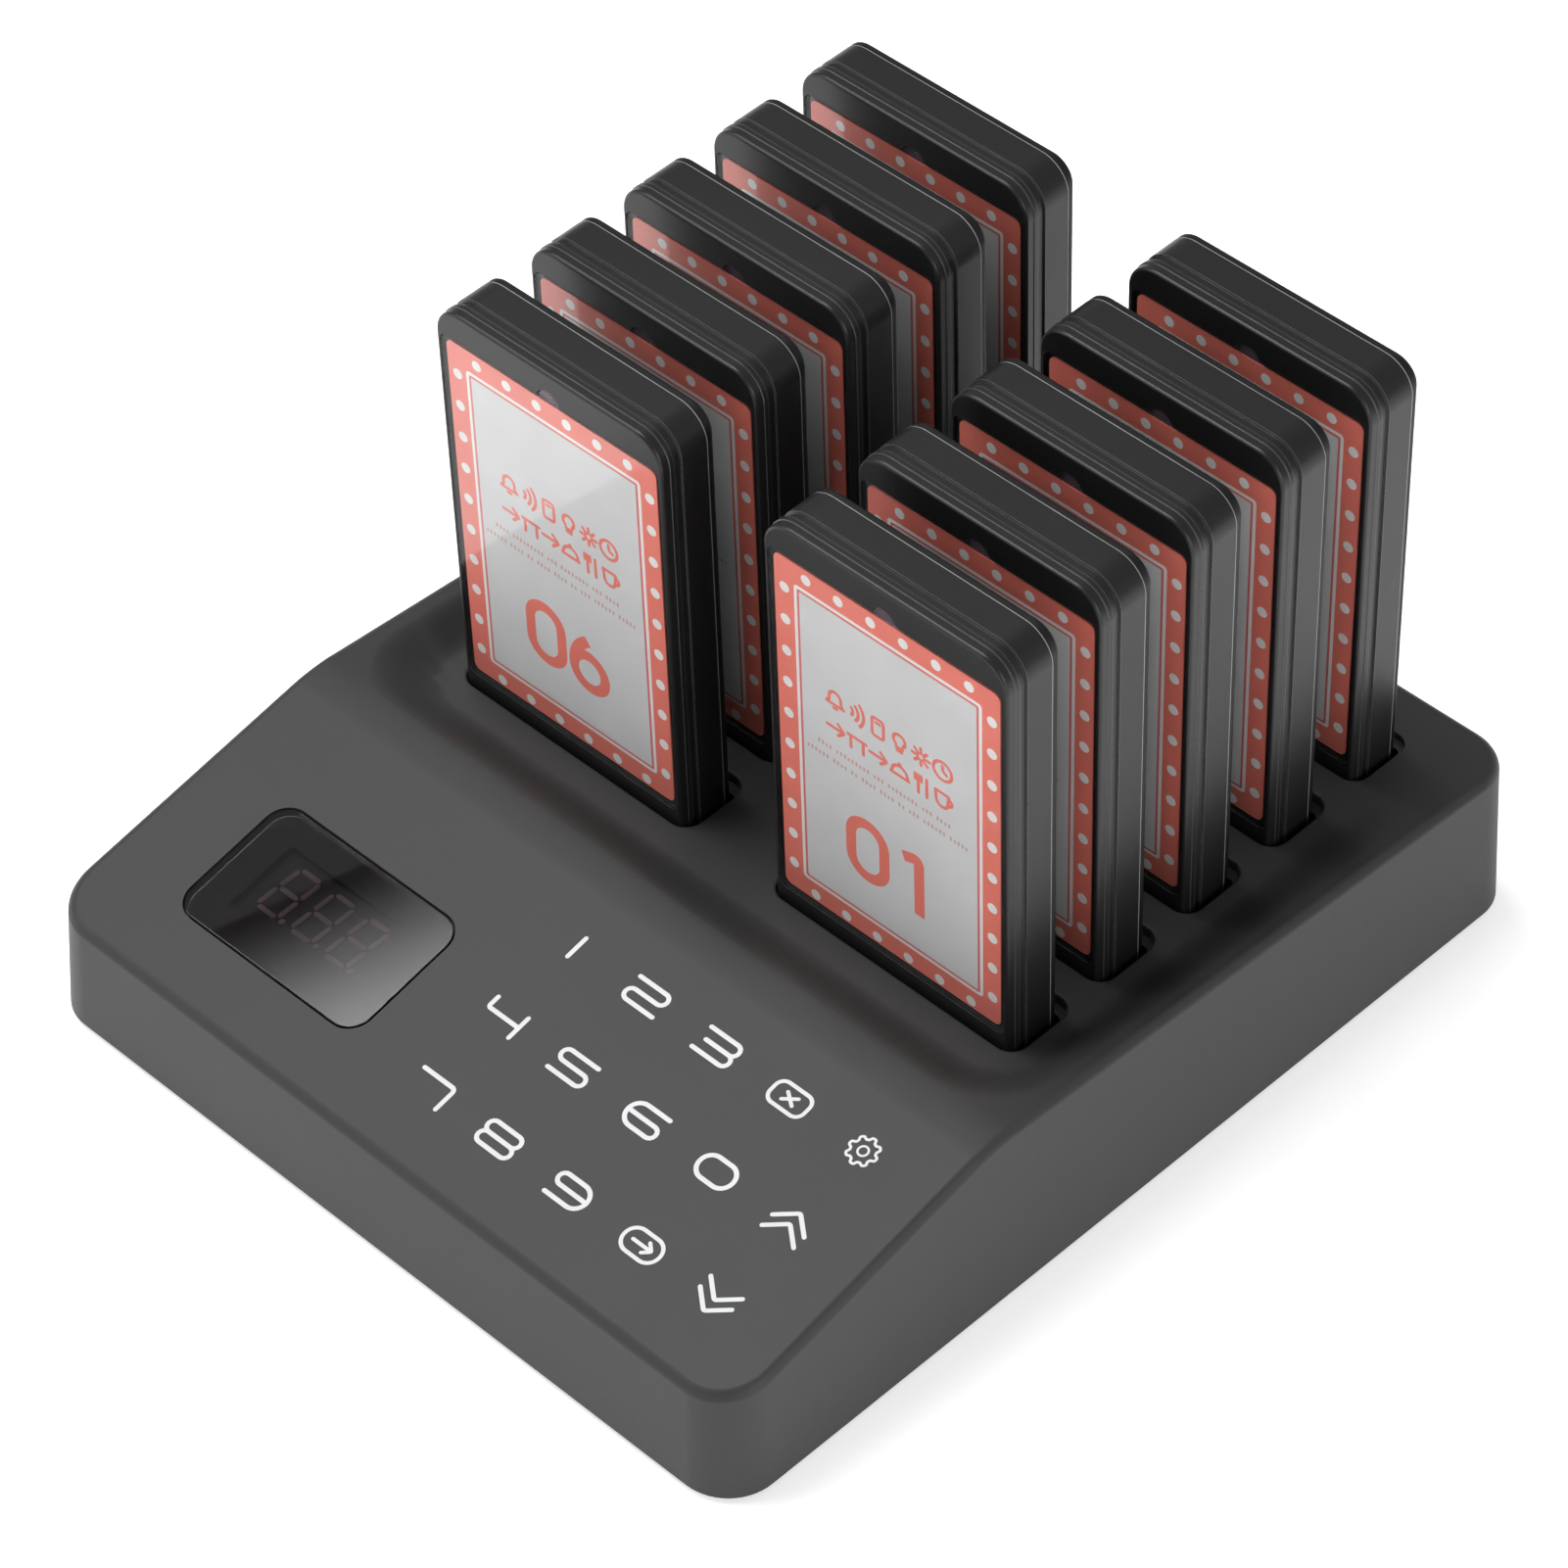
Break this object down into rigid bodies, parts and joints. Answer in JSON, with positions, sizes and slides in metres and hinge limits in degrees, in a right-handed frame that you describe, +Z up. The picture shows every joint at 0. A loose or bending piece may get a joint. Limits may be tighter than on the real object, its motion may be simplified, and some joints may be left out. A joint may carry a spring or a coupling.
{
  "type": "guest pager set",
  "caption": "Charging dock with a sloping touch-key panel and display, holding upright restaurant guest pagers with numbered label cards in two columns of slots.",
  "frame": {"origin": "on the surface that the dock's feet stand on, under the middle of the dock", "axes": "+Z up, +Y from the key panel towards the dock's rear, +X to the right as seen from the key panel"},
  "size_m": [0.187, 0.224, 0.1373],
  "materials": {
    "dock_plastic": "fine satin texture",
    "cover_plastic": "fine texture",
    "well_plastic": "satin",
    "pager_front": "satin",
    "pager_back": "satin",
    "label_card": "printed card",
    "smoked_window": "polished",
    "display_block": "satin",
    "circuit_board": "solder mask",
    "contact_metal": "plated",
    "shield_can": "tinned",
    "sleeve_plastic": "satin",
    "cable_plastic": "satin",
    "foot_rubber": "matte",
    "screw_steel": "zinc plated"
  },
  "bodies": {
    "dock": {"top_cover": "dock_plastic", "bottom_cover": "cover_plastic", "slot_cradle_left": "well_plastic", "slot_cradle_right": "well_plastic", "charging_boards": "circuit_board", "charging_pins": "contact_metal", "display_window": "smoked_window", "display_module": "display_block", "display_board": "circuit_board", "touch_board": "circuit_board", "main_board": "circuit_board", "radio_module": "shield_can", "antenna": "sleeve_plastic", "buzzer": "sleeve_plastic", "power_inlet": "sleeve_plastic", "ribbon_cable": "cable_plastic", "charging_harness": "sleeve_plastic", "rubber_feet": "foot_rubber", "case_screws": "screw_steel", "board_screws": "screw_steel"},
    "pager_01": {"pager_01_front_case": "pager_front", "pager_01_back_case": "pager_back", "pager_01_label_card": "label_card", "pager_01_electronics": "circuit_board"},
    "pager_02": {"pager_02_front_case": "pager_front", "pager_02_back_case": "pager_back", "pager_02_label_card": "label_card", "pager_02_electronics": "circuit_board"},
    "pager_03": {"pager_03_front_case": "pager_front", "pager_03_back_case": "pager_back", "pager_03_label_card": "label_card", "pager_03_electronics": "circuit_board"},
    "pager_04": {"pager_04_front_case": "pager_front", "pager_04_back_case": "pager_back", "pager_04_label_card": "label_card", "pager_04_electronics": "circuit_board"},
    "pager_05": {"pager_05_front_case": "pager_front", "pager_05_back_case": "pager_back", "pager_05_label_card": "label_card", "pager_05_electronics": "circuit_board"},
    "pager_06": {"pager_06_front_case": "pager_front", "pager_06_back_case": "pager_back", "pager_06_label_card": "label_card", "pager_06_electronics": "circuit_board"},
    "pager_07": {"pager_07_front_case": "pager_front", "pager_07_back_case": "pager_back", "pager_07_label_card": "label_card", "pager_07_electronics": "circuit_board"},
    "pager_08": {"pager_08_front_case": "pager_front", "pager_08_back_case": "pager_back", "pager_08_label_card": "label_card", "pager_08_electronics": "circuit_board"},
    "pager_09": {"pager_09_front_case": "pager_front", "pager_09_back_case": "pager_back", "pager_09_label_card": "label_card", "pager_09_electronics": "circuit_board"},
    "pager_10": {"pager_10_front_case": "pager_front", "pager_10_back_case": "pager_back", "pager_10_label_card": "label_card", "pager_10_electronics": "circuit_board"}
  },
  "joints": [
    {"name": "pager_01_lift", "type": "slide", "parent": "dock", "child": "pager_01", "axis": [0, -0.0384, 0.9993], "range_m": [0, 0.03]},
    {"name": "pager_02_lift", "type": "slide", "parent": "dock", "child": "pager_02", "axis": [0, -0.0384, 0.9993], "range_m": [0, 0.03]},
    {"name": "pager_03_lift", "type": "slide", "parent": "dock", "child": "pager_03", "axis": [0, -0.0384, 0.9993], "range_m": [0, 0.03]},
    {"name": "pager_04_lift", "type": "slide", "parent": "dock", "child": "pager_04", "axis": [0, -0.0384, 0.9993], "range_m": [0, 0.03]},
    {"name": "pager_05_lift", "type": "slide", "parent": "dock", "child": "pager_05", "axis": [0, -0.0384, 0.9993], "range_m": [0, 0.03]},
    {"name": "pager_06_lift", "type": "slide", "parent": "dock", "child": "pager_06", "axis": [0, -0.0384, 0.9993], "range_m": [0, 0.03]},
    {"name": "pager_07_lift", "type": "slide", "parent": "dock", "child": "pager_07", "axis": [0, -0.0384, 0.9993], "range_m": [0, 0.03]},
    {"name": "pager_08_lift", "type": "slide", "parent": "dock", "child": "pager_08", "axis": [0, -0.0384, 0.9993], "range_m": [0, 0.03]},
    {"name": "pager_09_lift", "type": "slide", "parent": "dock", "child": "pager_09", "axis": [0, -0.0384, 0.9993], "range_m": [0, 0.03]},
    {"name": "pager_10_lift", "type": "slide", "parent": "dock", "child": "pager_10", "axis": [0, -0.0384, 0.9993], "range_m": [0, 0.03]}
  ]
}
